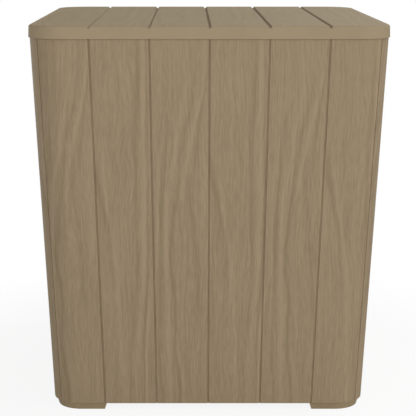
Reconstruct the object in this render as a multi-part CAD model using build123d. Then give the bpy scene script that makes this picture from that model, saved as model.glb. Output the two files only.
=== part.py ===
from build123d import *
import os
from math import asin, cos, degrees, radians, sin, tan

# Cooler table: a tapered plank-faced resin cabinet round an insulated tub, with a hinged plank lid.
# Millimetres, +Z up, front towards -Y, origin on the floor under the middle of the table.

# Overall sizes
table_height = 508.0
lid_width = 457.0
plank_count = 6
plank_pitch = 74.8

# Lid shell
lid_corner_radius = 43.0
lid_skirt_height = 14.5
lid_skirt_wall = 3.0
lid_skirt_draft = 2.0
lid_lip = 1.0
lid_lip_drop = 1.3
lid_plate = 4.0
lid_edge_radius = 3.0
lid_groove_width = 5.0
lid_groove_floor = 1.0
lid_groove_depth = 2.6
lid_boss_radius = 4.0

# Cabinet walls: the section drawn at the panel tops shrinks downwards with the draft
lid_overhang = 1.7
lid_seam = 1.5
body_draft = 2.36
panel_wall = 4.0
panel_seam = 1.2
panel_groove_width = 2.4
panel_groove_floor = 1.2
panel_groove_depth = 1.6

# Corner posts behind the panel seams
post_fit = 0.3
post_thickness = 9.0
post_half_angle = 38.0
post_screw_angle = 21.0
post_screw_inset = 45.0
panel_skin = 1.4

# Base and feet
foot_height = 10.0
foot_length = 70.0
foot_inset = 2.5
foot_slope_run = 3.0
foot_screw_spread = 15.0
foot_screw_sink = 5.0
base_plate = 6.0
base_fit = 0.4
base_skin = 1.0

# Tub and insulation
tub_corner_radius = 36.0
tub_wall = 3.0
tub_floor = 3.0
tub_cove = 1.5
tub_lip = 1.2
tub_flange = 3.0
tub_flange_gap = 1.5
foam_floor = 27.0
foam_fit = 0.4
foam_headroom = 5.0

# Lid pan and seal
pan_clearance = 3.5
pan_wall = 2.5
pan_floor = 2.5
pan_drop = 9.0
pan_rim = 2.6
pan_edge_radius = 4.0
seal_setback = 3.0
seal_width = 8.0
seal_height = 2.7
seal_gap = 0.3

# Hinges, sunk in pockets at the top of the rear panel
hinge_inset = 70.0
hinge_half_width = 30.0
hinge_ear = 6.0
hinge_side_gap = 0.5
hinge_axis_depth = 5.0
hinge_axis_drop = 8.0
hinge_pin_radius = 2.0
hinge_pin_fit = 0.05
knuckle_radius = 5.0
pocket_gap = 1.5
pocket_sill = 2.0
pocket_fit = 0.3
bracket_back = 6.0
bracket_wing = 16.0
arm_leg_gap = 0.4
arm_plate = 3.0

# Drain at the foot of the rear wall
spout_bore_radius = 9.0
spout_wall = 3.0
spout_flange_radius = 18.0
spout_flange = 3.0
spout_fit = 0.15
drain_washer = 2.0
drain_pad_margin = 2.0
drain_pad_proud = 0.8
drain_nut = 6.0
drain_nut_radius = 17.0
spout_tip = 1.5
plug_head_radius = 14.0
plug_head = 4.5
plug_grip_width = 5.0
plug_grip_sink = 2.0
plug_grip_rim = 2.5
plug_stem = 14.0
plug_fit = 0.3
plug_seat_gap = 0.3
plug_seal_width = 2.0
plug_seal_depth = 1.2
plug_seal_fit = 0.08

# Screws
screw_head_radius = 3.0
screw_head = 1.8
screw_shank_radius = 1.6
screw_socket_radius = 1.5
screw_socket_depth = 0.9
screw_fit = 0.1
screw_room = 0.5
post_bite = 14.0
boss_skin = 1.0

# Levels and half widths that follow from the sizes above
lid_half = lid_width / 2
skirt_low = table_height - lid_skirt_height
lip_low = skirt_low - lid_lip_drop
plate_low = table_height - lid_plate
panel_top = skirt_low - lid_seam
flange_top = panel_top + tub_flange
rim_low = flange_top + seal_gap + seal_height
boss_low = rim_low + pan_rim
boss_top = table_height - lid_groove_depth - boss_skin
base_top = foot_height + base_plate
tub_low = base_top + foam_floor
tub_floor_top = tub_low + tub_floor
pan_low = panel_top - pan_drop
body_half = lid_half - lid_overhang
body_corner_radius = lid_corner_radius - lid_overhang
corner = body_half - body_corner_radius
panel_bite = panel_wall - panel_skin
base_bite = base_plate - base_skin
post_outer = body_corner_radius - panel_wall - post_fit
post_inner = post_outer - post_thickness
hinge_x = corner - hinge_inset
axis_y = body_half - hinge_axis_depth
axis_z = skirt_low - hinge_axis_drop
arm_leg_front = axis_y - knuckle_radius
pocket_back = arm_leg_front - pocket_gap
pocket_low = axis_z - knuckle_radius - pocket_gap
bracket_low = pocket_low - pocket_sill
bracket_front = pocket_back - bracket_back
foam_top = bracket_low - foam_headroom
screw_hole_radius = screw_shank_radius + screw_fit
screw_lane = 2 * (screw_head_radius + screw_room)
arm_screw_line = arm_leg_front - screw_lane / 2
arm_plate_front = arm_leg_front - screw_lane
rim_half = arm_plate_front - screw_room
lid_screw_line = rim_half - screw_lane / 2
seal_outer = rim_half - screw_lane
seal_inner = seal_outer - seal_width
mouth_half = seal_inner - seal_setback
tub_half = mouth_half + tub_wall
pan_half = mouth_half - pan_clearance
pan_radius = tub_corner_radius - pan_clearance


def shrink(level):
    """Size of the tapered section at a level, as a share of its size at the panel tops."""
    return 1 - (panel_top - level) * tan(radians(body_draft)) / body_half


def rounded_square(half, radius):
    return RectangleRounded(2 * half, 2 * half, radius)


def tapered(section, low, high):
    """Solid between two levels whose section follows the cabinet's taper."""
    ends = [Pos(0, 0, level) * scale(section, by=shrink(level)) for level in (low, high)]
    return loft(ends, ruled=True)


def flared(top, inset, low, high):
    """Solid that widens upwards by an inset to a rounded square of the given half width and radius."""
    half, radius = top
    ends = [Pos(0, 0, level) * rounded_square(half - step, radius - step)
            for level, step in ((low, inset), (high, 0))]
    return loft(ends, ruled=True)


def slab(section, low, high):
    return extrude(Pos(0, 0, low) * section, amount=high - low)


def block(x_span, y_span, z_span):
    spans = (x_span, y_span, z_span)
    middle = [(low + high) / 2 for low, high in spans]
    return Pos(*middle) * Box(*[high - low for low, high in spans])


def upright(x, y, low, high, radius):
    seat = (Align.CENTER, Align.CENTER, Align.MIN)
    return Pos(x, y, low) * Cylinder(radius, high - low, align=seat)


def drain_disc(start, end, radius):
    """Cylinder along the drain's axis, between two distances behind the table's middle."""
    turn = Plane((drain_x, start, drain_z), x_dir=(1, 0, 0), z_dir=(0, 1, 0))
    return extrude(turn * Circle(radius), amount=end - start)


def screw(length):
    """Pan-head screw driven along +Z, with its seat at the origin."""
    head = Cylinder(screw_head_radius, screw_head, align=(Align.CENTER, Align.CENTER, Align.MAX))
    shank = Cylinder(screw_shank_radius, length, align=(Align.CENTER, Align.CENTER, Align.MIN))
    socket = slab(RegularPolygon(screw_socket_radius, 6), -screw_head, screw_socket_depth - screw_head)
    return head + shank - socket


def screw_hole(length, pocket=0.0):
    """Clearance for a screw's shank and, where it is sunk, a pocket for its head."""
    hole = Cylinder(screw_hole_radius, length + screw_fit, align=(Align.CENTER, Align.CENTER, Align.MIN))
    if pocket:
        wide = screw_head_radius + screw_room
        hole += Cylinder(wide, pocket, align=(Align.CENTER, Align.CENTER, Align.MAX))
    return hole


def four_turns(shape):
    return [Rot(0, 0, 90 * turn) * shape for turn in range(4)]


def both_hinges(shape):
    return [Pos(side * hinge_x, 0, 0) * shape for side in (-1, 1)]


def group(shapes):
    return Compound(list(shapes))


# Corner posts and the screws that hold the panels to them
def post_screw_seats():
    """Seat of each screw from a post into a panel, at the front right corner."""
    seats = []
    for level in (base_top + post_screw_inset, bracket_low - post_screw_inset):
        for swing in (-post_screw_angle, post_screw_angle):
            out = radians(swing - 45)
            depth = post_inner * shrink(level) + screw_head + screw_fit
            centre = corner * shrink(level)
            spot = (centre + depth * cos(out), depth * sin(out) - centre, level)
            reach = (body_corner_radius - panel_wall + panel_bite) * shrink(level) - depth
            seats.append((Plane(spot, z_dir=(cos(out), sin(out), 0)), reach))
    return seats


def corner_post():
    span = 2 * post_half_angle
    start = -45 - post_half_angle
    rings = [CenterArc((corner, -corner), radius, start, span) for radius in (post_outer, post_inner)]
    ends = [Line(rings[0] @ place, rings[1] @ place) for place in (0, 1)]
    post = tapered(make_face(rings + ends), base_top, panel_top)
    for seat, reach in post_screw_seats():
        post -= seat * screw_hole(reach, post_thickness)
    for level, grip in ((panel_top, -post_bite), (base_top, post_bite)):
        place = post_middle(level)
        post -= upright(place, -place, min(level, level + grip), max(level, level + grip), screw_hole_radius)
    return post


def post_middle(level):
    """Distance of a post's middle from the table's two middle planes, half a hole's depth in."""
    inward = level + post_bite / 2 if level == base_top else level - post_bite / 2
    return (corner + (post_inner + post_outer) / 2 * cos(radians(45))) * shrink(inward)


# Wall panels, each with half of a rounded corner at both ends and grooves between its planks
def panel_section():
    half_grooves = (panel_groove_width / 2, panel_groove_floor / 2)
    run = [(-corner, -body_half)]
    for line in range(1, plank_count):
        middle = (line - plank_count / 2) * plank_pitch
        floor = panel_groove_depth - body_half
        run += [(middle - half_grooves[0], -body_half), (middle - half_grooves[1], floor)]
        run += [(middle + half_grooves[1], floor), (middle + half_grooves[0], -body_half)]
    run.append((corner, -body_half))
    arcs = []
    for radius in (body_corner_radius, body_corner_radius - panel_wall):
        gap = degrees(asin(panel_seam / 2 / radius))
        arcs.append(CenterArc((-corner, -corner), radius, 225 + gap, 45 - gap))
        arcs.append(CenterArc((corner, -corner), radius, 270, 45 - gap))
    left, right, left_inner, right_inner = arcs
    inner_run = Line(left_inner @ 1, right_inner @ 0)
    ends = [Line(left @ 0, left_inner @ 0), Line(right @ 1, right_inner @ 1)]
    return make_face((Curve() + arcs + [Polyline(run), inner_run] + ends).edges())


def wall_panel():
    panel = tapered(panel_section(), foot_height, panel_top)
    for seat, reach in post_screw_seats():
        hole = seat * screw_hole(reach)
        panel -= hole
        panel -= Rot(0, 0, -90) * hole
    return panel


def rear_panel():
    panel = Rot(0, 0, 180) * wall_panel()
    wide = hinge_half_width + pocket_fit
    pocket = block((-wide, wide), (bracket_front, lid_half), (bracket_low - pocket_fit, panel_top))
    for cut in both_hinges(pocket):
        panel -= cut
    low_face = body_half * shrink(drain_z - drain_pad_radius) - panel_wall
    panel += drain_disc(low_face, drain_boss_face, drain_pad_radius)
    return panel - drain_disc(drain_flange_face, spout_end, spout_radius + spout_fit)


# Base plate, feet and their screws
def base_screw_place():
    return post_middle(base_top)


def foot_middle():
    return body_half * shrink(foot_height) - foot_inset - foot_length / 2


def foot_screw_places():
    """The two screws of the front right foot, either side of its diagonal."""
    middle = foot_middle()
    return [(middle + side * foot_screw_spread, side * foot_screw_spread - middle) for side in (-1, 1)]


def base_screw_length():
    return base_plate - screw_head - screw_fit + post_bite - screw_room


def base_tray():
    reach = body_half - panel_wall - base_fit
    tray = tapered(rounded_square(reach, reach - corner), foot_height, base_top)
    place = base_screw_place()
    seat = foot_height + screw_head + screw_fit
    tools = [Pos(place, -place, seat) * screw_hole(base_plate, base_plate)]
    tools += [upright(x, y, foot_height, foot_height + base_bite + screw_fit, screw_hole_radius)
              for x, y in foot_screw_places()]
    for tool in tools:
        for cut in four_turns(tool):
            tray -= cut
    return tray


def foot_section(inset):
    """Plan of the front right foot, drawn inside its top edge by an inset."""
    size = foot_length - 2 * inset
    middle = foot_middle()
    pad = Rectangle(size, size)
    outer = pad.vertices().sort_by(Axis.X)[-2:].sort_by(Axis.Y)[0]
    radius = body_corner_radius * shrink(foot_height) - foot_inset - inset
    return Pos(middle, -middle) * fillet(outer, radius)


def foot():
    ends = [Pos(0, 0, level) * foot_section(inset)
            for level, inset in ((0, foot_slope_run), (foot_height, 0))]
    pad = loft(ends, ruled=True)
    for x, y in foot_screw_places():
        pad -= Pos(x, y, foot_screw_sink) * screw_hole(foot_height, foot_screw_sink)
    return pad


# Insulated tub
def cooler_liner():
    outer = tapered(rounded_square(tub_half, tub_corner_radius + tub_wall), tub_low, panel_top)
    flange_half = lid_half - lid_skirt_wall - tub_flange_gap
    flange_radius = lid_corner_radius - lid_skirt_wall - tub_flange_gap
    flange = slab(rounded_square(flange_half, flange_radius), panel_top, flange_top)
    inside = rounded_square(mouth_half, tub_corner_radius)
    cove_top = tub_floor_top + tub_cove
    cove = (mouth_half * shrink(cove_top), tub_corner_radius * shrink(cove_top))
    lip = (mouth_half + tub_lip, tub_corner_radius + tub_lip)
    hollow = flared(cove, tub_cove, tub_floor_top, cove_top) + tapered(inside, cove_top, panel_top)
    hollow += slab(inside, panel_top, flange_top - tub_lip)
    hollow += flared(lip, tub_lip, flange_top - tub_lip, flange_top)
    pad_back = tub_half * shrink(drain_z + drain_pad_radius)
    pad = drain_disc(drain_pad_face, pad_back, drain_pad_radius) & outer
    liner = outer + flange - hollow + pad
    liner -= drain_disc(drain_flange_face, spout_end, spout_radius + spout_fit)
    wide = hinge_half_width + pocket_fit
    notch = block((-wide, wide), (pocket_back, lid_half), (panel_top, flange_top))
    tools = both_hinges(notch)
    tools += [upright(x, y, panel_top, flange_top, screw_hole_radius) for x, y in bracket_screw_places()]
    place = post_middle(panel_top)
    tools += four_turns(upright(place, -place, panel_top, flange_top, screw_hole_radius))
    for tool in tools:
        liner -= tool
    return liner


def insulation_shell():
    reach = body_half - panel_wall - post_fit - post_thickness - foam_fit
    outer = tapered(rounded_square(reach, reach - corner), base_top, foam_top)
    hollow = rounded_square(tub_half + foam_fit, tub_corner_radius + tub_wall + foam_fit)
    shell = outer - tapered(hollow, tub_low, foam_top)
    return shell - drain_disc(drain_flange_face, spout_end, spout_radius + foam_fit)


# Drain, with a flat pad on the tub and on the rear panel where it passes through their sloping walls
spout_radius = spout_bore_radius + spout_wall
drain_pad_radius = spout_flange_radius + drain_pad_margin
drain_z = tub_floor_top + tub_cove + drain_pad_radius + screw_room
drain_x = body_half / plank_count * shrink(drain_z)
drain_pad_face = mouth_half * shrink(drain_z - drain_pad_radius) - drain_pad_proud
drain_boss_face = body_half * shrink(drain_z + drain_pad_radius) + drain_pad_proud
drain_flange_face = drain_pad_face - drain_washer
spout_end = drain_boss_face + drain_nut + spout_tip
plug_seat = spout_end + plug_seat_gap


def drain_spout():
    tube = drain_disc(drain_flange_face, spout_end, spout_radius)
    tube += drain_disc(drain_flange_face - spout_flange, drain_flange_face, spout_flange_radius)
    return tube - drain_disc(drain_flange_face - spout_flange, spout_end, spout_bore_radius)


def drain_gasket():
    ring = drain_disc(drain_flange_face, drain_pad_face, spout_flange_radius)
    return ring - drain_disc(drain_flange_face, drain_pad_face, spout_radius + spout_fit)


def drain_hex_nut():
    turn = Plane((drain_x, drain_boss_face, drain_z), x_dir=(1, 0, 0), z_dir=(0, 1, 0))
    nut = extrude(turn * RegularPolygon(drain_nut_radius, 6), amount=drain_nut)
    return nut - drain_disc(drain_boss_face, drain_boss_face + drain_nut, spout_radius + spout_fit)


def drain_plug():
    stem_radius = spout_bore_radius - plug_fit
    plug = drain_disc(plug_seat, plug_seat + plug_head, plug_head_radius)
    plug += drain_disc(plug_seat - plug_stem, plug_seat, stem_radius)
    face = plug_seat + plug_head
    dish = drain_disc(face - plug_grip_sink, face, plug_head_radius - plug_grip_rim)
    grip_side = (drain_x - plug_grip_width / 2, drain_x + plug_grip_width / 2)
    grip_rise = (drain_z - plug_head_radius, drain_z + plug_head_radius)
    plug -= dish - block(grip_side, (face - plug_grip_sink, face), grip_rise)
    groove = drain_disc(*plug_seal_span(), stem_radius)
    groove -= drain_disc(*plug_seal_span(), stem_radius - plug_seal_depth)
    return plug - groove


def plug_seal_span():
    middle = plug_seat - plug_stem / 2
    return middle - plug_seal_width / 2, middle + plug_seal_width / 2


def plug_seal():
    ring = drain_disc(*plug_seal_span(), spout_bore_radius - plug_seal_fit)
    return ring - drain_disc(*plug_seal_span(), spout_bore_radius - plug_fit - plug_seal_depth)


# Hinges: a bracket in each rear pocket, a pin through its ears and an arm on the lid
def bracket_screw_places():
    """Screws through the tub's flange into the wings of both brackets."""
    spread = hinge_half_width + bracket_wing / 2
    back = pocket_back - bracket_back / 2
    return [(hinge * hinge_x + side * spread, back) for hinge in (-1, 1) for side in (-1, 1)]


def pin_rod(half_length, radius):
    turn = Plane((-half_length, axis_y, axis_z), x_dir=(0, 1, 0), z_dir=(1, 0, 0))
    return extrude(turn * Circle(radius), amount=2 * half_length)


def hinge_bracket():
    wing = hinge_half_width + bracket_wing
    outer_face = body_half * shrink(bracket_low)
    rise = (bracket_low, panel_top)
    bracket = block((-wing, wing), (bracket_front, pocket_back), rise)
    bracket += block((-hinge_half_width, hinge_half_width), (bracket_front, outer_face), rise)
    room = hinge_half_width - hinge_ear
    bracket -= block((-room, room), (pocket_back, lid_half), (pocket_low, panel_top))
    bracket -= pin_rod(wing, hinge_pin_radius + hinge_pin_fit)
    for side in (-1, 1):
        place = side * (hinge_half_width + bracket_wing / 2)
        bracket -= upright(place, pocket_back - bracket_back / 2, pocket_low, panel_top, screw_hole_radius)
    return bracket


def hinge_arm():
    reach = hinge_half_width - hinge_ear - hinge_side_gap
    skirt_face = lid_half - lid_skirt_wall - arm_leg_gap
    arm = pin_rod(reach, knuckle_radius)
    arm += block((-reach, reach), (arm_leg_front, skirt_face), (axis_z, boss_low - arm_plate))
    arm += block((-reach, reach), (arm_plate_front, skirt_face), (boss_low - arm_plate, boss_low))
    arm -= pin_rod(reach, hinge_pin_radius + hinge_pin_fit)
    for x, y in arm_screw_places():
        arm -= upright(x, y, boss_low - arm_plate, boss_low, screw_hole_radius)
    return arm


def arm_screw_places():
    """Screws up through one arm's plate, counted from that hinge's middle."""
    spread = hinge_half_width - hinge_ear - hinge_side_gap - screw_lane / 2
    return [(side * spread, arm_screw_line) for side in (-1, 1)]


# Lid
def lid_screw_places():
    """Screws up through the front edge of the lid pan's rim, in line with the hinges."""
    return [(side * hinge_x, -lid_screw_line) for side in (-1, 1)]


def lid_bosses(radius, low, high):
    posts = [shape for x, y in lid_screw_places() for shape in four_turns(upright(x, y, low, high, radius))]
    for x, y in arm_screw_places():
        posts += both_hinges(upright(x, y, low, high, radius))
    return posts


def lid_top():
    narrowing = (table_height - lip_low) * tan(radians(lid_skirt_draft))
    shell = flared((lid_half - narrowing, lid_corner_radius - narrowing), -narrowing, lip_low, table_height)
    shell = fillet(shell.edges().group_by(Axis.Z)[-1], lid_edge_radius)
    lip_inside = rounded_square(lid_half - lid_lip, lid_corner_radius - lid_lip)
    inside = rounded_square(lid_half - lid_skirt_wall, lid_corner_radius - lid_skirt_wall)
    shell -= slab(lip_inside, lip_low, skirt_low)
    shell -= slab(inside, skirt_low, plate_low)
    shell += lid_bosses(lid_boss_radius, boss_low, plate_low)
    floor = table_height - lid_groove_depth
    half_width = lid_groove_width / 2
    half_floor = lid_groove_floor / 2
    outline = [(-half_width, table_height), (-half_floor, floor)]
    outline += [(half_floor, floor), (half_width, table_height)]
    front = Plane((0, -lid_half, 0), x_dir=(1, 0, 0), z_dir=(0, -1, 0))
    groove = extrude(front * make_face(Polyline(outline, close=True)), amount=-lid_width)
    for line in range(1, plank_count):
        shell -= Pos((line - plank_count / 2) * plank_pitch, 0, 0) * groove
    for hole in lid_bosses(screw_hole_radius, boss_low, boss_top + screw_fit):
        shell -= hole
    return shell


def lid_liner():
    rim_radius = lid_corner_radius - (lid_half - rim_half)
    rim = slab(rounded_square(rim_half, rim_radius), rim_low, boss_low)
    section = rounded_square(pan_half, pan_radius)
    hollow = rounded_square(pan_half - pan_wall, pan_radius - pan_wall)
    drop = tapered(section, pan_low, rim_low)
    drop = fillet(drop.edges().group_by(Axis.Z)[0], pan_edge_radius)
    pan = rim + drop - tapered(hollow, pan_low + pan_floor, boss_low)
    for x, y in lid_screw_places():
        for hole in four_turns(upright(x, y, rim_low, boss_low, screw_hole_radius)):
            pan -= hole
    return pan


def lid_insulation():
    inset = pan_wall + foam_fit
    return tapered(rounded_square(pan_half - inset, pan_radius - inset), pan_low + pan_floor, plate_low)


def lid_gasket():
    spread = seal_inner - mouth_half
    outer = rounded_square(seal_outer, tub_corner_radius + spread + seal_width)
    inner = rounded_square(seal_inner, tub_corner_radius + spread)
    return slab(outer - inner, flange_top + seal_gap, rim_low)


# Screw sets
def panel_screws():
    return [copy for seat, reach in post_screw_seats() for copy in four_turns(seat * screw(reach))]


def base_screws():
    place = base_screw_place()
    seat = foot_height + screw_head + screw_fit
    return four_turns(Pos(place, -place, seat) * screw(base_screw_length()))


def foot_screws():
    length = foot_height - foot_screw_sink + base_bite
    seats = [Pos(x, y, foot_screw_sink) for x, y in foot_screw_places()]
    return [copy for seat in seats for copy in four_turns(seat * screw(length))]


def liner_screws():
    place = post_middle(panel_top)
    length = tub_flange + post_bite - screw_room
    return four_turns(Pos(place, -place, flange_top) * Rot(180, 0, 0) * screw(length))


def hinge_bracket_screws():
    length = flange_top - pocket_low - screw_room
    return [Pos(x, y, flange_top) * Rot(180, 0, 0) * screw(length) for x, y in bracket_screw_places()]


def lid_screws():
    length = boss_top - rim_low
    return [copy for x, y in lid_screw_places() for copy in four_turns(Pos(x, y, rim_low) * screw(length))]


def hinge_arm_screws():
    seat = boss_low - arm_plate
    length = boss_top - seat
    return [copy for x, y in arm_screw_places() for copy in both_hinges(Pos(x, y, seat) * screw(length))]


nodes = {
    "front_panel": wall_panel(),
    "right_panel": Rot(0, 0, 90) * wall_panel(),
    "rear_panel": rear_panel(),
    "left_panel": Rot(0, 0, 270) * wall_panel(),
    "base_tray": base_tray(),
    "insulation_shell": insulation_shell(),
    "cooler_liner": cooler_liner(),
    "drain_spout": drain_spout(),
    "drain_gasket": drain_gasket(),
    "drain_nut": drain_hex_nut(),
    "drain_plug": drain_plug(),
    "drain_plug_seal": plug_seal(),
    "lid_top": lid_top(),
    "lid_liner": lid_liner(),
    "lid_insulation": lid_insulation(),
    "lid_gasket": lid_gasket(),
    "panel_screws": group(panel_screws()),
    "base_screws": group(base_screws()),
    "foot_screws": group(foot_screws()),
    "liner_screws": group(liner_screws()),
    "hinge_bracket_screws": group(hinge_bracket_screws()),
    "lid_screws": group(lid_screws()),
    "hinge_arm_screws": group(hinge_arm_screws()),
}
corner_names = ("front_right", "rear_right", "rear_left", "front_left")
for name, post, pad in zip(corner_names, four_turns(corner_post()), four_turns(foot())):
    nodes[f"corner_post_{name}"] = post
    nodes[f"foot_{name}"] = pad
pin = pin_rod(hinge_half_width - screw_room, hinge_pin_radius)
for name, piece in (("hinge_bracket", hinge_bracket()), ("hinge_arm", hinge_arm()), ("hinge_pin", pin)):
    for side, placed in zip(("left", "right"), both_hinges(piece)):
        nodes[f"{name}_{side}"] = placed

os.makedirs("parts", exist_ok=True)
for name, shape in nodes.items():
    export_step(shape, f"parts/{name}.step")
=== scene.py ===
from math import hypot, pi, radians, tau

import bpy
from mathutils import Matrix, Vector


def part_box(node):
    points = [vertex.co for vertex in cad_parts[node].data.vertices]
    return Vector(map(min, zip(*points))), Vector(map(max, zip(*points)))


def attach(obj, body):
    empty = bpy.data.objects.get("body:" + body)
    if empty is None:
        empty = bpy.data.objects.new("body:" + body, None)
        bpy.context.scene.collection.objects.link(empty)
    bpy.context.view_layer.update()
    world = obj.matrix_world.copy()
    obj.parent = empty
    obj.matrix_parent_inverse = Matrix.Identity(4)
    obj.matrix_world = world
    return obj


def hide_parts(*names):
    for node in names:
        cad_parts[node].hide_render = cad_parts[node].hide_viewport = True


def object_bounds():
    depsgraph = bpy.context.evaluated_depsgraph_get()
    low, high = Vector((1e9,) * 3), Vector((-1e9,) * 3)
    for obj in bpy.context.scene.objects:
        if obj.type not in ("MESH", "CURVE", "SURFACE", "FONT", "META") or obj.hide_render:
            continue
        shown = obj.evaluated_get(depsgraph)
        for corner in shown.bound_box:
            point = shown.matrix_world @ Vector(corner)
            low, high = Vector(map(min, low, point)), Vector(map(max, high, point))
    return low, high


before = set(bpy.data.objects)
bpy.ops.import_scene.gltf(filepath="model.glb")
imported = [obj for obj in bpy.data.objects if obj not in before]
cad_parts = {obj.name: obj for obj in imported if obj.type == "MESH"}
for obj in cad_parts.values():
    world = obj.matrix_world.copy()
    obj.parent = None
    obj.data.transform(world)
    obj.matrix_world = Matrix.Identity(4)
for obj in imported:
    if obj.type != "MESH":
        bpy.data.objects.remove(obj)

cad_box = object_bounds()


# Wall panels
# The four walls are moulded from taupe outdoor resin, six planks each, with a shallow wood figure cut in
# the mould. They meet at a seam down each rounded corner and are screwed to the corner posts from behind.
def add(tree, kind, inputs=None, **settings):
    """Adds a shader node; an input given as a socket is linked, and any other value is set."""
    made = tree.nodes.new("ShaderNode" + kind)
    for name, value in settings.items():
        setattr(made, name, value)
    for name, value in (inputs or {}).items():
        if isinstance(value, bpy.types.NodeSocket):
            tree.links.new(value, made.inputs[name])
        else:
            made.inputs[name].default_value = value
    return made


def calc(tree, operation, *values):
    """Adds a math node for the values and returns its result."""
    return add(tree, "Math", dict(enumerate(values)), operation=operation).outputs[0]


def new_group(name, inputs, outputs):
    """Starts a shader node group and returns its tree, its inputs by name and its outputs by name."""
    tree = bpy.data.node_groups.new(name, "ShaderNodeTree")
    for direction, sockets in (("INPUT", inputs), ("OUTPUT", outputs)):
        for label, kind in sockets.items():
            tree.interface.new_socket(label, in_out=direction, socket_type="NodeSocket" + kind)
    return tree, tree.nodes.new("NodeGroupInput").outputs, tree.nodes.new("NodeGroupOutput").inputs


def use_group(tree, group, **inputs):
    """Places a node group and returns its outputs by name."""
    return add(tree, "Group", inputs, node_tree=group).outputs


def new_material(name, **surface):
    """Starts a material with the given constants; returns it, its tree and its surface shader's inputs."""
    material = bpy.data.materials.new(name)
    material.use_nodes = True
    shader = material.node_tree.nodes["Principled BSDF"]
    for label, value in surface.items():
        shader.inputs[label.replace("_", " ")].default_value = value
    return material, material.node_tree, shader.inputs


def paint(red, green, blue):
    """Shader colour for a paint-card colour given in 0 to 255 steps."""
    steps = [level / 255 for level in (red, green, blue)]
    return tuple(s / 12.92 if s <= 0.04045 else ((s + 0.055) / 1.055) ** 2.4 for s in steps) + (1.0,)


def mix_colours(tree, share, first, second):
    """Blends two colours; a share of 1 is all the second."""
    return add(tree, "Mix", {0: share, 6: first, 7: second}, data_type="RGBA").outputs[2]


def piece_place(tree, turn=(0.0, 0.0, 0.0), slide=(0.0, 0.0, 0.0)):
    """Place on the piece in metres, turned and slid so that a pattern lies along it."""
    coordinates = add(tree, "TexCoord").outputs["Object"]
    mapped = add(tree, "Mapping", {"Vector": coordinates, "Rotation": turn, "Location": slide})
    return mapped.outputs["Vector"]


def emboss(tree, surface, height, strength, depth):
    """Puts a height pattern on the surface as fine relief; depth is in metres."""
    bump = add(tree, "Bump", {"Height": height, "Strength": strength, "Distance": depth})
    tree.links.new(bump.outputs[0], surface["Normal"])


def dress(material, *names):
    """Gives CAD pieces their material."""
    for name in names:
        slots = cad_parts[name].data.materials
        slots.clear()
        slots.append(material)


# The figure is laid out in millimetres, with a width after which it repeats and a height that it covers.
# A streak's path up the plank is a ramp of colours: red is its place across, out of path_range, and green
# is its strength, out of full_strength.
millimetres = 1000.0
figure_repeat = 147.5
figure_length = 500.0
path_range = 200.0
full_strength = 2.0
light_gain = 0.42
dark_gain = 0.46
middle_tone = 0.5
# Each noise: changes to a millimetre across the grain and along it, and detail; then its gain or shift.
ragged_noise = (0.12, 0.03, 2.0)
ragged_shift = 3.0
broad_noise = (0.03, 0.01, 1.0)
broad_gain = 0.2
wander_noise = (0.02, 0.006, 2.0)
wander_shift = 20.0
narrow_noise = (0.30, 0.010, 2.0)
narrow_gain = 0.85
fleck_noise = (0.55, 0.06, 1.0)
fleck_gain = 0.8
fibre_noise = (1.3, 0.03, 2.0)
fibre_gain = 0.5
# Each streak: its half width, then its height, place across and strength at each bend, upwards.
light_streaks = (
    (3.2, ((30, 53.5, 0.5), (90, 56, 0.7), (115, 57, 0.7), (150, 61, 0.8), (190, 64, 1.0),
           (250, 64, 1.0), (320, 65, 1.0), (400, 64.5, 1.0), (475, 64, 0.7))),
    (1.6, ((30, 66.5, 1.3), (80, 66.5, 1.5), (115, 67.5, 1.3), (145, 71, 0.8), (170, 76, 0.6),
           (200, 80, 0.7), (250, 81, 0.8), (300, 82, 0.7), (350, 84, 0.4), (380, 86, 0.0))),
    (3.0, ((280, 111, 0.0), (295, 113, 0.6), (340, 119, 0.9), (370, 125, 0.9), (395, 131, 0.9),
           (420, 137, 0.8), (445, 141, 0.8), (485, 144, 0.5))),
    (3.0, ((30, 97, 0.7), (80, 95.5, 1.0), (120, 95, 0.9), (160, 94, 0.8), (230, 93, 1.0),
           (270, 94, 1.0), (300, 96, 0.9), (345, 104, 0.8), (370, 107, 0.7), (395, 112, 0.6),
           (440, 119, 0.4), (475, 121, 0.2))),
    (3.2, ((30, 35, 0.6), (110, 33, 0.6), (150, 31, 0.7), (190, 30, 0.9), (215, 27, 0.8),
           (245, 23, 0.7), (275, 18, 0.7), (305, 15, 0.7), (335, 14, 0.5), (400, 16, 0.0))),
    (4.5, ((170, 146, 0.0), (220, 145, 0.5), (250, 147, 0.6), (280, 144, 0.6), (320, 143.5, 0.5),
           (370, 144, 0.4), (420, 146, 0.0))),
    (2.2, ((30, 115, 0.5), (60, 112, 0.6), (80, 109, 0.5), (100, 106, 0.4), (120, 105, 0.0))),
)
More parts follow.
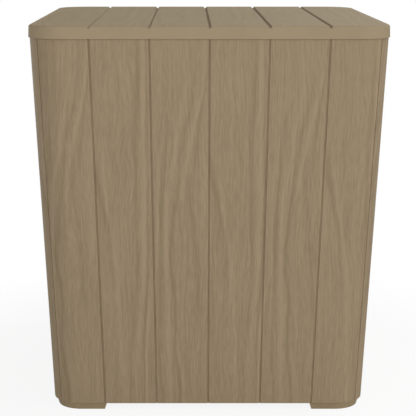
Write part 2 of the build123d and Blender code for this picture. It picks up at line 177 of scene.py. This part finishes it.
dark_streaks = (
    (1.6, ((40, 63.5, 0.6), (110, 64, 0.9), (130, 65, 1.0), (160, 67, 1.1), (190, 68.5, 1.1),
           (260, 69.5, 0.9), (320, 70, 0.6), (380, 69, 0.7), (475, 69, 0.6))),
    (2.8, ((30, 46, 0.5), (75, 45, 0.4), (110, 50, 0.4), (150, 53, 0.5), (205, 56, 0.8),
           (240, 55, 0.7), (280, 54, 0.7), (320, 54.5, 0.8), (360, 53, 0.9), (385, 55, 0.8),
           (445, 57.5, 0.9), (475, 58, 0.6))),
    (2.3, ((30, 109.5, 0.9), (60, 106, 0.8), (95, 103, 0.7), (120, 104, 0.8), (155, 104, 1.1),
           (180, 101, 1.2), (215, 98, 1.2), (240, 100, 1.0), (270, 103, 0.8), (310, 109, 0.8),
           (350, 112, 0.9), (380, 117, 0.8), (400, 123, 0.7), (450, 131, 0.4), (480, 133, 0.2))),
    (2.6, ((30, 86.5, 0.8), (70, 84, 0.7), (130, 84, 0.6), (190, 86, 0.9), (230, 85.5, 1.0),
           (260, 86, 1.0), (290, 87, 0.9), (320, 90, 0.8), (350, 92, 0.7), (380, 94, 0.5),
           (410, 96, 0.0))),
    (2.2, ((310, 130, 0.0), (340, 131, 0.6), (370, 133, 0.7), (390, 135, 0.8), (405, 138, 0.8),
           (440, 143, 0.8), (480, 146, 0.5))),
    (3.4, ((120, 135, 0.0), (160, 134, 0.6), (220, 132, 0.7), (250, 130, 0.7), (265, 127, 0.7),
           (280, 124, 0.6), (300, 122, 0.6), (330, 122, 0.5), (360, 123, 0.0))),
    (3.0, ((160, 22.5, 0.0), (190, 22, 0.5), (230, 21, 0.6), (250, 18, 0.8), (272, 13, 1.0),
           (293, 9, 1.3), (310, 6, 1.2), (330, 4, 0.8), (360, 3, 0.0))),
)
# Calm lens-shaped patches that the fibres bend round: place across, height, half width, half length, push.
hearts = ((32.0, 335.0, 30.0, 110.0, 11.0), (120.0, 205.0, 26.0, 110.0, 9.0))

wood_figure, place, result = new_group(
    "wood_figure", {"Place": "Vector"}, {"Figure": "Float", "Fibre": "Float", "Relief": "Float"})
spot = add(wood_figure, "SeparateXYZ", {0: place["Place"]}).outputs
across = calc(wood_figure, "MULTIPLY", spot["X"], millimetres)
along = calc(wood_figure, "MULTIPLY", spot["Z"], millimetres)
height_share = calc(wood_figure, "DIVIDE", along, figure_length)


def grain_noise(cross, cross_scale, length_scale, detail):
    """Noise drawn out along the grain, with its middle at 0."""
    vector = add(wood_figure, "CombineXYZ", {0: calc(wood_figure, "MULTIPLY", cross, cross_scale),
                                             1: calc(wood_figure, "MULTIPLY", along, length_scale)})
    noise = add(wood_figure, "TexNoise", {"Vector": vector.outputs[0], "Scale": 1.0, "Detail": detail},
                noise_dimensions="2D")
    return calc(wood_figure, "SUBTRACT", noise.outputs[0], middle_tone)


def off_line(cross, middle, half_width):
    """Distance from a line in half widths, to the nearest of its repeats."""
    side = calc(wood_figure, "SUBTRACT", cross, middle)
    side = calc(wood_figure, "WRAP", side, figure_repeat / 2, -figure_repeat / 2)
    return calc(wood_figure, "DIVIDE", side, half_width)


def bell(distance_squared):
    """1 on the line, falling smoothly to 0 on both sides."""
    return calc(wood_figure, "EXPONENT", calc(wood_figure, "MULTIPLY", distance_squared, -1.0))


ragged = grain_noise(across, *ragged_noise)
ragged = calc(wood_figure, "MULTIPLY_ADD", ragged, ragged_shift, across)
figure = calc(wood_figure, "MULTIPLY", grain_noise(across, *broad_noise), broad_gain)
for gain, streaks in ((light_gain, light_streaks), (-dark_gain, dark_streaks)):
    for half_width, bends in streaks:
        path = add(wood_figure, "ValToRGB", {"Fac": height_share})
        path.color_ramp.interpolation = "CARDINAL"
        elements = path.color_ramp.elements
        for number, (height, bend_across, strength) in enumerate(bends):
            position = height / figure_length
            element = elements[number] if number < 2 else elements.new(position)
            element.position = position
            element.color = (bend_across / path_range, strength / full_strength, 0.0, 1.0)
        path = add(wood_figure, "SeparateColor", {0: path.outputs["Color"]}).outputs
        side = off_line(ragged, calc(wood_figure, "MULTIPLY", path["Red"], path_range), half_width)
        streak = bell(calc(wood_figure, "MULTIPLY", side, side))
        streak = calc(wood_figure, "MULTIPLY", streak, path["Green"])
        figure = calc(wood_figure, "MULTIPLY_ADD", streak, gain * full_strength, figure)

fibre_line = across
for heart_across, heart_along, half_width, half_length, push in hearts:
    side = off_line(across, heart_across, half_width)
    rise = calc(wood_figure, "DIVIDE", calc(wood_figure, "SUBTRACT", along, heart_along), half_length)
    reach = calc(wood_figure, "MULTIPLY_ADD", side, side, calc(wood_figure, "MULTIPLY", rise, rise))
    bend = calc(wood_figure, "MULTIPLY", side, bell(reach))
    fibre_line = calc(wood_figure, "MULTIPLY_ADD", bend, -push, fibre_line)
wander = grain_noise(across, *wander_noise)
fibre_line = calc(wood_figure, "MULTIPLY_ADD", wander, wander_shift, fibre_line)
narrow = grain_noise(fibre_line, *narrow_noise)
flecks = grain_noise(fibre_line, *fleck_noise)
fibre = grain_noise(fibre_line, *fibre_noise)
for noise, gain in ((narrow, narrow_gain), (flecks, fleck_gain), (fibre, fibre_gain)):
    figure = calc(wood_figure, "MULTIPLY_ADD", noise, gain, figure)
figure = add(wood_figure, "Math", {0: figure, 1: middle_tone}, operation="ADD", use_clamp=True).outputs[0]
wood_figure.links.new(figure, result["Figure"])
wood_figure.links.new(calc(wood_figure, "ADD", fibre, middle_tone), result["Fibre"])
wood_figure.links.new(calc(wood_figure, "ADD", fibre, figure), result["Relief"])

plank_dark = paint(137, 120, 95)
plank_light = paint(163, 144, 118)
fibre_dark = paint(141, 124, 99)
fibre_share = 0.5
resin_shine = 0.05
plank_roughness = 0.52
fibre_roughness = 0.12
plank_bump = 0.25
plank_relief = 0.0002
# Each wall: its turn about the upright axis, and how far the figure is slid along it.
walls = {
    "front_panel": (0.0, 0.0),
    "right_panel": (-pi / 2, 0.031),
    "rear_panel": (pi, 0.067),
    "left_panel": (pi / 2, 0.104),
}
for wall, (turn, slide) in walls.items():
    resin, tree, surface = new_material("plank_resin_" + wall, Specular_IOR_Level=resin_shine)
    wall_place = piece_place(tree, turn=(0.0, 0.0, turn), slide=(slide, 0.0, 0.0))
    grain = use_group(tree, wood_figure, Place=wall_place)
    tone = mix_colours(tree, grain["Figure"], plank_dark, plank_light)
    fine = calc(tree, "MULTIPLY", grain["Fibre"], fibre_share)
    tree.links.new(mix_colours(tree, fine, tone, fibre_dark), surface["Base Color"])
    roughness = calc(tree, "MULTIPLY_ADD", grain["Fibre"], fibre_roughness, plank_roughness)
    tree.links.new(roughness, surface["Roughness"])
    emboss(tree, surface, grain["Relief"], plank_bump, plank_relief)
    dress(resin, wall)


# Base tray and corner posts
# The posts stand behind the corner seams and the tray closes the bottom; both are plain mouldings in a
# darker resin of the same kind, joined to each other and to the walls by self-tapping screws.
specks_to_cloud = 40.0
cloud_detail = 3.0
speck_detail = 1.0
speck_roughness = 0.16
skin_bump = 0.3

mould_skin, place, result = new_group(
    "mould_skin", {"Place": "Vector", "Scale": "Float"}, {"Cloud": "Float", "Speck": "Float"})
speck_scale = calc(mould_skin, "MULTIPLY", place["Scale"], specks_to_cloud)
skin_layers = {"Cloud": (place["Scale"], cloud_detail), "Speck": (speck_scale, speck_detail)}
for name, (scale, detail) in skin_layers.items():
    noise = add(mould_skin, "TexNoise", {"Vector": place["Place"], "Scale": scale, "Detail": detail})
    mould_skin.links.new(noise.outputs[0], result[name])


def moulded_plastic(name, dark, light, cloud_scale, roughness, relief, **surface_values):
    """Plain moulded plastic: soft cloudy colour, a fine sparked skin and a little change of gloss."""
    material, tree, surface = new_material(name, **surface_values)
    skin = use_group(tree, mould_skin, Place=piece_place(tree), Scale=cloud_scale)
    tree.links.new(mix_colours(tree, skin["Cloud"], dark, light), surface["Base Color"])
    rough = calc(tree, "MULTIPLY_ADD", skin["Speck"], speck_roughness, roughness)
    tree.links.new(rough, surface["Roughness"])
    emboss(tree, surface, skin["Speck"], skin_bump, relief)
    return material


corner_names = ("front_right", "rear_right", "rear_left", "front_left")
frame_resin = moulded_plastic("frame_resin", paint(108, 95, 77), paint(122, 108, 88),
                              cloud_scale=25.0, roughness=0.5, relief=0.0001)
dress(frame_resin, "base_tray", *["corner_post_" + corner for corner in corner_names])


# Feet
# Four low resin feet, one under each corner, with sloping sides; each is held up into the tray by two
# screws. They have the colour of the walls, in soft cloudy patches and without the wood figure.
foot_resin = moulded_plastic("foot_resin", paint(145, 128, 101), paint(157, 140, 110), cloud_scale=30.0,
                             roughness=0.52, relief=0.0001, Specular_IOR_Level=resin_shine)
dress(foot_resin, *["foot_" + corner for corner in corner_names])


# Insulation
# Expanded bead foam: a shell trapped between the tub, the tray and the walls, and a slab trapped in the
# lid. It is moulded in steam, so its beads show as a net of small cells with sunk edges.
bead_middle = paint(232, 232, 228)
bead_edge = paint(206, 206, 201)
bead_scale = 260.0
bead_bump = 0.6
bead_depth = 0.0006
foam, tree, surface = new_material("foam", Roughness=0.9, Specular_IOR_Level=0.2)
beads = add(tree, "TexVoronoi", {"Vector": piece_place(tree), "Scale": bead_scale}).outputs["Distance"]
tree.links.new(mix_colours(tree, beads, bead_middle, bead_edge), surface["Base Color"])
emboss(tree, surface, beads, bead_bump, -bead_depth)
dress(foam, "insulation_shell", "lid_insulation")


# Tub and lid pan
# Two pale grey thermoformed liners: the tub, whose flange lies on the wall tops, and the pan under the lid.
# The plastic is smooth with a faint orange-peel skin, and is held by screws through its flange and rim.
liner_plastic = moulded_plastic("liner_plastic", paint(203, 206, 204), paint(213, 215, 212),
                                cloud_scale=9.0, roughness=0.32, relief=0.00006,
                                Specular_IOR_Level=0.35)
dress(liner_plastic, "cooler_liner", "lid_liner")


# Drain
# A spout from the tub out through the foot of the rear wall, a hexagon nut that holds it on the outside and
# a push-in plug, all moulded in dark glass-filled plastic with a satin skin.
drain_plastic = moulded_plastic("drain_plastic", paint(52, 49, 46), paint(64, 60, 56),
                                cloud_scale=60.0, roughness=0.34, relief=0.00005)
dress(drain_plastic, "drain_spout", "drain_nut", "drain_plug")


# Lid seal
# A soft black seal stuck under the rim of the pan: a flat strip with a rounded bulb that the tub's flange
# presses. It is extruded rubber, bent round the corners.
merge_reach = 0.000001
smooth_angle = radians(40)


def start_piece(name, material):
    """Names the mesh just added, gives it its material and puts its place into its mesh."""
    piece = bpy.context.object
    piece.name = name
    bpy.ops.object.transform_apply(location=True, rotation=True, scale=True)
    piece.data.materials.append(material)
    bpy.ops.object.mode_set(mode="EDIT")
    return piece


def finish_piece(piece, body, *nodes):
    """Closes the mesh, turns its faces outwards, smooths it and puts it on its body for its CAD nodes."""
    bpy.ops.mesh.select_all(action="SELECT")
    bpy.ops.mesh.remove_doubles(threshold=merge_reach)
    bpy.ops.mesh.normals_make_consistent(inside=False)
    bpy.ops.object.mode_set(mode="OBJECT")
    bpy.ops.object.shade_smooth_by_angle(angle=smooth_angle)
    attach(piece, body)
    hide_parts(*nodes)


seal_rubber = moulded_plastic("seal_rubber", paint(36, 36, 37), paint(50, 50, 50),
                              cloud_scale=40.0, roughness=0.55, relief=0.00008)
strip_thickness = 0.0008
bulb_margin = 0.0014
bulb_round = 0.0016
bulb_steps = 5
corner_steps = 12
edge_reach = 0.00001
seal_low, seal_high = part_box("lid_gasket")
bulb_drop = seal_high.z - seal_low.z - strip_thickness
seal_points = [point.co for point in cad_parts["lid_gasket"].data.vertices]
straight_end = max(point.x for point in seal_points if point.y > seal_high.y - edge_reach)
beside_straight = [point.y for point in seal_points if abs(point.x) < straight_end + edge_reach]
seal_width = seal_high.y - max(y for y in beside_straight if y < seal_high.y - edge_reach)
bpy.ops.object.select_all(action="DESELECT")
bpy.ops.mesh.primitive_plane_add(size=2 * seal_high.x, location=(0, 0, seal_high.z))
lid_seal = start_piece("lid_seal", seal_rubber)
bpy.ops.mesh.select_all(action="SELECT")
bpy.ops.mesh.bevel(offset=seal_high.x - straight_end, segments=corner_steps, affect="VERTICES")
bpy.ops.mesh.select_mode(type="FACE")
bpy.ops.mesh.select_all(action="SELECT")
bpy.ops.mesh.inset(thickness=seal_width)
bpy.ops.mesh.delete(type="FACE")
bpy.ops.mesh.select_all(action="SELECT")
bpy.ops.mesh.extrude_region_move(TRANSFORM_OT_translate={"value": (0, 0, -strip_thickness)})
bpy.ops.mesh.inset(thickness=bulb_margin)
bpy.ops.mesh.extrude_region_move(TRANSFORM_OT_translate={"value": (0, 0, -bulb_drop)})
bpy.ops.mesh.region_to_loop()
bpy.ops.mesh.bevel(offset=bulb_round, segments=bulb_steps, affect="EDGES")
finish_piece(lid_seal, "lid", "lid_gasket")


# Drain washer and plug ring
# The washer seals the spout's flange against the tub, and the ring seals the plug in the spout. The washer
# is cut and the ring moulded from the same black rubber, and only the parts that squeeze them hold them.
def axis_and_radii(node):
    """Middle of a ring that lies round an axis along Y, and its inner and outer radius."""
    low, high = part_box(node)
    middle = (low + high) / 2
    reaches = [hypot(v.co.x - middle.x, v.co.z - middle.z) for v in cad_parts[node].data.vertices]
    return middle, min(reaches), max(reaches)


washer_edge = 0.0004
washer_edge_steps = 3
washer_sides = 72
sharp_angle = radians(60)
washer_low, washer_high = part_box("drain_gasket")
washer_thickness = washer_high.y - washer_low.y
washer_middle, washer_inner, washer_outer = axis_and_radii("drain_gasket")
washer_front = washer_middle - Vector((0, washer_thickness / 2, 0))
bpy.ops.object.select_all(action="DESELECT")
bpy.ops.mesh.primitive_circle_add(vertices=washer_sides, radius=washer_outer, fill_type="NGON",
                                  rotation=(pi / 2, 0, 0), location=washer_front)
washer = start_piece("drain_washer", seal_rubber)
bpy.ops.mesh.select_mode(type="FACE")
bpy.ops.mesh.select_all(action="SELECT")
bpy.ops.mesh.inset(thickness=washer_outer - washer_inner)
bpy.ops.mesh.delete(type="FACE")
bpy.ops.mesh.select_all(action="SELECT")
bpy.ops.mesh.extrude_region_move(TRANSFORM_OT_translate={"value": (0, washer_thickness, 0)})
bpy.ops.mesh.select_mode(type="EDGE")
bpy.ops.mesh.select_all(action="DESELECT")
bpy.ops.mesh.edges_select_sharp(sharpness=sharp_angle)
bpy.ops.mesh.bevel(offset=washer_edge, segments=washer_edge_steps, affect="EDGES")
finish_piece(washer, "cabinet", "drain_gasket")

ring_section_sides = 16
ring_steps = 60
ring_middle, ring_inner, ring_outer = axis_and_radii("drain_plug_seal")
ring_section = (ring_outer - ring_inner) / 2
ring_line = ring_middle + Vector((ring_inner + ring_section, 0, 0))
bpy.ops.object.select_all(action="DESELECT")
bpy.ops.mesh.primitive_circle_add(vertices=ring_section_sides, radius=ring_section, location=ring_line)
plug_ring = start_piece("plug_ring", seal_rubber)
bpy.ops.mesh.select_all(action="SELECT")
bpy.ops.mesh.spin(steps=ring_steps, angle=tau, center=ring_middle, axis=(0, 1, 0))
finish_piece(plug_ring, "plug", "drain_plug_seal")


# Lid
# The lid's shell is one moulding with a short skirt; five grooves part its top into six planks. The top has
# the wall's wood figure, much fainter, the skirt is plain, and the grooves are darkened with painted shade.
lid_dark = paint(146, 130, 105)
lid_light = paint(164, 147, 120)
# Painted shade: inside the grooves the colour is mixed toward this dark tone, more the deeper a point lies.
groove_shade = paint(96, 80, 56)
groove_pitch = 0.0748
groove_half = 0.0026
groove_depth = 0.0027
groove_shade_strength = 0.3
last_groove = 2 * groove_pitch + groove_half
flat_depth = 0.0003
round_depth = 0.0015
lid_figure_turn = (pi / 2, 0.0, 0.0)
lid_figure_slide = (0.02, 0.0, 0.25)
lid_figure_share = 0.5
lid_cloud_scale = 18.0
lid_cloud_share = 0.5
lid_plain_tone = 0.25
lid_roughness = 0.62
lid_figure_relief = 0.6
lid_bump = 0.25
lid_relief = 0.00015
lid_resin, tree, surface = new_material("lid_resin", Specular_IOR_Level=0.03)
grain = use_group(tree, wood_figure, Place=piece_place(tree, lid_figure_turn, lid_figure_slide))
skin = use_group(tree, mould_skin, Place=piece_place(tree), Scale=lid_cloud_scale)
spot = add(tree, "SeparateXYZ", {0: piece_place(tree)}).outputs
depth = calc(tree, "SUBTRACT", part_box("lid_top")[1].z, spot["Z"])
top_range = {"Value": depth, "From Min": round_depth, "From Max": flat_depth}
top_share = add(tree, "MapRange", top_range).outputs[0]
swing = calc(tree, "MULTIPLY", calc(tree, "SUBTRACT", grain["Figure"], middle_tone), top_share)
shade = calc(tree, "MULTIPLY_ADD", swing, lid_figure_share, lid_plain_tone)
shade = calc(tree, "MULTIPLY_ADD", skin["Cloud"], lid_cloud_share, shade)
tone = mix_colours(tree, shade, lid_dark, lid_light)
from_middle = calc(tree, "ABSOLUTE", spot["X"])
from_groove = calc(tree, "WRAP", spot["X"], groove_pitch / 2, -groove_pitch / 2)
from_groove = calc(tree, "ABSOLUTE", from_groove)
# Painted shade in the five grooves: the colour darkens with depth below the top face, most at the groove
# floor.
groove_shade_mask = add(tree, "MapRange", {"Value": depth, "From Max": groove_depth, "To Max": groove_shade_strength}).outputs[0]
for reach, limit in ((from_groove, groove_half), (from_middle, last_groove), (depth, groove_depth)):
    groove_shade_mask = calc(tree, "MULTIPLY", groove_shade_mask, calc(tree, "LESS_THAN", reach, limit))
tree.links.new(mix_colours(tree, groove_shade_mask, tone, groove_shade), surface["Base Color"])
roughness = calc(tree, "MULTIPLY_ADD", skin["Speck"], speck_roughness, lid_roughness)
tree.links.new(roughness, surface["Roughness"])
relief = calc(tree, "MULTIPLY", grain["Relief"], top_share)
relief = calc(tree, "MULTIPLY_ADD", relief, lid_figure_relief, skin["Speck"])
emboss(tree, surface, relief, lid_bump, lid_relief)
dress(lid_resin, "lid_top")


# Hinges
# Two hinges sunk in pockets at the top of the rear wall: a bracket screwed under the tub's flange, an arm
# screwed under the lid, both in dark glass-filled plastic, and a steel pin through the bracket's ears.
sides = ("left", "right")
hinge_plastic = moulded_plastic("hinge_plastic", paint(58, 52, 46), paint(70, 63, 55),
                                cloud_scale=50.0, roughness=0.42, relief=0.00006)
dress(hinge_plastic, *[part + side for part in ("hinge_bracket_", "hinge_arm_") for side in sides])


# Steel pins and screws
# Drawn steel pins and pan-head screws, zinc plated: bright, with a fine-grained, slightly cloudy plating.
# The pins are pushed through the hinges, and the screws cut their own thread in the resin.
steel_dark = paint(176, 178, 180)
steel_light = paint(206, 207, 208)
plating_scale = 180.0
plating_roughness = 0.24
plating_speck = 0.2
plating_bump = 0.2
plating_relief = 0.00003
steel, tree, surface = new_material("steel", Metallic=1.0)
skin = use_group(tree, mould_skin, Place=piece_place(tree), Scale=plating_scale)
tree.links.new(mix_colours(tree, skin["Cloud"], steel_dark, steel_light), surface["Base Color"])
roughness = calc(tree, "MULTIPLY_ADD", skin["Speck"], plating_speck, plating_roughness)
tree.links.new(roughness, surface["Roughness"])
emboss(tree, surface, skin["Speck"], plating_bump, plating_relief)
screwed_pieces = ("panel", "base", "foot", "liner", "hinge_bracket", "lid", "hinge_arm")
dress(steel, *[piece + "_screws" for piece in screwed_pieces], *["hinge_pin_" + side for side in sides])


# Studio floor and background
# A plain pale floor that takes the table's shadow and fades to white a little way off, and a white
# background. Both show white to the eye and in gloss, and light the table only softly.
def white_to_eye(tree):
    """1 for rays from the camera and for rays seen in gloss or through glass, and 0 for soft light."""
    ray = add(tree, "LightPath").outputs
    seen = calc(tree, "MAXIMUM", ray["Is Camera Ray"], ray["Is Glossy Ray"])
    return calc(tree, "MAXIMUM", seen, ray["Is Transmission Ray"])


floor_size = 12.0
shadow_reach = 0.30
fade_end = 0.62
near_white = 0.88
bpy.ops.object.select_all(action="DESELECT")
bpy.ops.mesh.primitive_plane_add(size=floor_size)
floor = bpy.context.object
floor.name = "studio_floor"
pale, tree, surface = new_material("studio_floor", Roughness=0.9, Specular_IOR_Level=0.0)
surface["Base Color"].default_value = paint(240, 240, 240)
lit = tree.nodes["Principled BSDF"].outputs[0]
distance = add(tree, "VectorMath", {0: piece_place(tree)}, operation="LENGTH").outputs["Value"]
fade = {"Value": distance, "From Min": shadow_reach, "From Max": fade_end, "To Min": near_white}
far = add(tree, "MapRange", fade, interpolation_type="SMOOTHSTEP").outputs[0]
white = add(tree, "Emission").outputs[0]
blend = add(tree, "MixShader", {0: calc(tree, "MULTIPLY", far, white_to_eye(tree)), 1: lit, 2: white})
tree.links.new(blend.outputs[0], tree.nodes["Material Output"].inputs["Surface"])
floor.data.materials.append(pale)

soft_light_strength = 0.33
world = bpy.data.worlds.new("studio_background")
bpy.context.scene.world = world
world.use_nodes = True
tree = world.node_tree
strength = add(tree, "MapRange", {"Value": white_to_eye(tree), "To Min": soft_light_strength}).outputs[0]
background = tree.nodes["Background"].inputs
background["Color"].default_value = (1.0, 1.0, 1.0, 1.0)
tree.links.new(strength, background["Strength"])


# Studio lamps
# A soft box high on the right, one in front above the camera, a small cool one over the right edge, one
# high behind and a weak one low at the left, towards the back. All point at the middle of the table.
table_middle = (cad_box[0] + cad_box[1]) / 2
white_light = (1.0, 1.0, 1.0)
cool_light = (0.906, 0.977, 1.0)


def soft_box(name, place, size, watts, colour):
    """A square soft lamp; its size is the length of a side in metres."""
    bpy.ops.object.light_add(type="AREA", location=place)
    lamp = bpy.context.object
    lamp.name = name
    lamp.data.size = size
    lamp.data.energy = watts
    lamp.data.color = colour
    lamp.rotation_euler = (table_middle - lamp.location).to_track_quat("-Z", "Y").to_euler()


soft_box("key_soft_box", place=(2.4, -1.6, 1.8), size=1.4, watts=24.6, colour=white_light)
soft_box("front_soft_box", place=(-0.2, -3.0, 1.3), size=1.6, watts=37.0, colour=white_light)
soft_box("side_soft_box", place=(1.4, 0.3, 2.2), size=1.2, watts=10.1, colour=cool_light)
soft_box("rear_soft_box", place=(1.2, 2.6, 1.9), size=1.6, watts=24.0, colour=white_light)
soft_box("left_soft_box", place=(-1.9, 1.5, 0.28), size=0.4, watts=6.5, colour=white_light)


# Camera
# A long lens a little above the table and in front of it, level from side to side and dipped a little; the
# shift moves the table sideways in the picture. Lens and sensor are in millimetres, the dip in degrees.
camera_place = (-0.0256, -1.7996, 0.6149)
camera_dip = 12.046
lens_length = 109.74
sensor_width = 36.0
side_shift = 0.0459
bpy.ops.object.camera_add(location=camera_place, rotation=(radians(90 - camera_dip), 0, 0))
camera = bpy.context.object
camera.data.lens = lens_length
camera.data.sensor_width = sensor_width
camera.data.shift_x = side_shift
bpy.context.scene.camera = camera
bpy.context.scene.view_settings.view_transform = "Standard"
